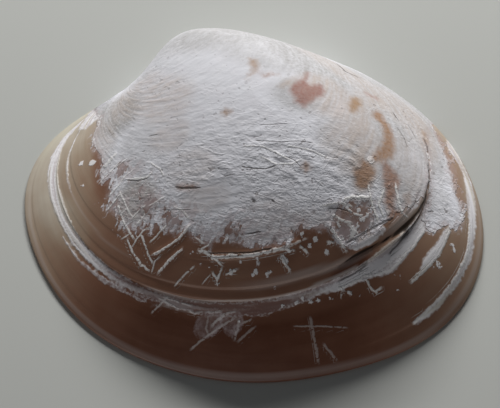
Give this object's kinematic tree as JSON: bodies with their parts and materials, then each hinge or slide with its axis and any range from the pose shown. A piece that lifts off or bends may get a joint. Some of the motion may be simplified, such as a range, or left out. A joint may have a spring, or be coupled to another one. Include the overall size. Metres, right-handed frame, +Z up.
{
  "type": "clam shell valve",
  "caption": "Left valve of a chocolate clam shell, lying on its rim: brown with a worn chalky top, growth ledges outside and a hollow with a toothed hinge plate beneath.",
  "frame": {"origin": "on the surface that the rim rests on, under the centre of the valve's bounding box", "axes": "+X to the back end of the valve, +Y to its hinge and beak, +Z up out of its bulging outside"},
  "size_m": [0.0799, 0.0649, 0.0211],
  "materials": {
    "shell": "worn, part chalky white and part smooth chocolate brown"
  },
  "bodies": {
    "root": {"left_valve": "shell"}
  },
  "joints": []
}
